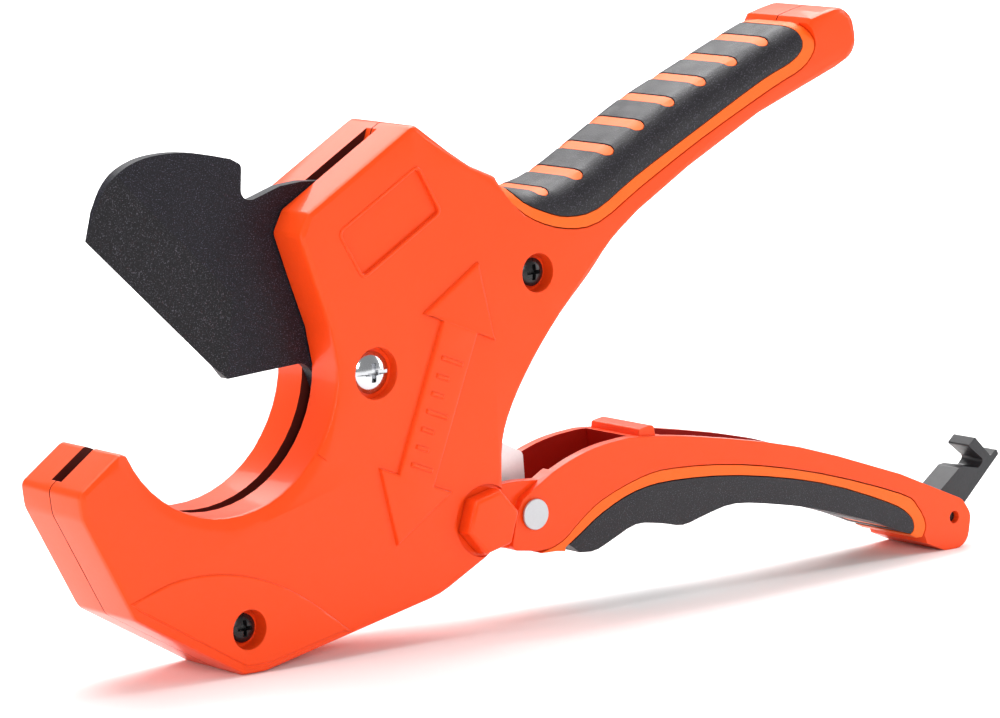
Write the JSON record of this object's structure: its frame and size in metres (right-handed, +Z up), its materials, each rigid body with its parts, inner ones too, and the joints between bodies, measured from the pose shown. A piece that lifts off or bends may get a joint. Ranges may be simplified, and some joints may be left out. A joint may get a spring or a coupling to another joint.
{
  "type": "ratcheting pipe cutter",
  "caption": "Ratcheting plastic-pipe cutter with a swinging blade, a hooked jaw, a fixed handle, a spring-loaded lever and a tail latch.",
  "frame": {"origin": "centre of the bounding box in X and Y, on the surface that the tool stands on in Z", "axes": "+X from the jaw to the tail of the lever, +Y through the thickness towards the nut side, +Z up with the fixed handle above the lever"},
  "size_m": [0.308, 0.0338, 0.1505],
  "materials": {
    "orange_paint": "gloss",
    "orange_plastic": "satin",
    "black_rubber": "fine matt grain",
    "coated_steel": "matt non-stick coating",
    "chrome": "polished",
    "zinc_steel": "zinc plated",
    "black_oxide": "black oxide",
    "black_plastic": "satin",
    "spring_steel": "drawn wire"
  },
  "bodies": {
    "body": {"body_near": "orange_paint", "body_far": "orange_paint", "blade_pivot_screw": "chrome", "blade_pivot_nut": "zinc_steel", "blade_pivot_bush": "zinc_steel", "lower_body_screw": "black_oxide", "lower_body_nut": "black_oxide", "rear_body_screw": "black_oxide", "rear_body_nut": "black_oxide", "spring_post": "zinc_steel", "blade_return_spring": "spring_steel", "lever_pivot_bolt": "orange_paint", "lever_pivot_nut": "orange_paint", "lever_pivot_sleeve": "zinc_steel", "lever_return_spring": "spring_steel", "holding_pawl_pin": "zinc_steel", "holding_pawl_spring": "spring_steel", "handle_grip_carrier": "orange_plastic", "handle_grip_pad": "black_rubber"},
    "blade": {"blade": "coated_steel", "blade_spring_pin": "zinc_steel"},
    "lever": {"lever": "orange_paint", "lever_grip_carrier": "orange_plastic", "lever_grip_pad": "black_rubber", "pawl_rivet": "chrome", "pawl_spacer": "zinc_steel", "drive_pawl_spring": "black_oxide", "latch_pin": "zinc_steel"},
    "drive_pawl": {"drive_pawl": "zinc_steel"},
    "holding_pawl": {"holding_pawl": "zinc_steel"},
    "latch": {"latch_hook": "black_plastic"}
  },
  "joints": [
    {"name": "blade_swing", "type": "hinge", "parent": "body", "child": "blade", "pos_m": [-0.06604, 0, 0.07], "axis": [0, -1, 0], "range_deg": [0, 53], "stiffness_Nm_per_rad": 0.1, "springref_deg": -85.94, "deforming": ["blade_return_spring"]},
    {"name": "lever_swing", "type": "hinge", "parent": "body", "child": "lever", "pos_m": [-0.03264, 0, 0.0289], "axis": [0, -1, 0], "range_deg": [0, 44], "stiffness_Nm_per_rad": 0.3, "springref_deg": -91.67, "deforming": ["lever_return_spring"]},
    {"name": "drive_pawl_swing", "type": "hinge", "parent": "lever", "child": "drive_pawl", "pos_m": [-0.01564, 0, 0.0282], "axis": [0, -1, 0], "range_deg": [-60, 0], "deforming": ["drive_pawl_spring"]},
    {"name": "holding_pawl_lift", "type": "hinge", "parent": "body", "child": "holding_pawl", "pos_m": [-0.06804, 0, 0.033], "axis": [0, -1, 0], "range_deg": [-8, 0], "stiffness_Nm_per_rad": 0.02, "springref_deg": 28.65, "deforming": ["holding_pawl_spring"]},
    {"name": "latch_swing", "type": "hinge", "parent": "lever", "child": "latch", "pos_m": [0.13066, 0, 0.0088], "axis": [0, -1, 0], "range_deg": [-30, 6]}
  ],
  "couplings": [
    {"joint": "drive_pawl_swing", "follows": "lever_swing", "ratio": -1.34}
  ]
}
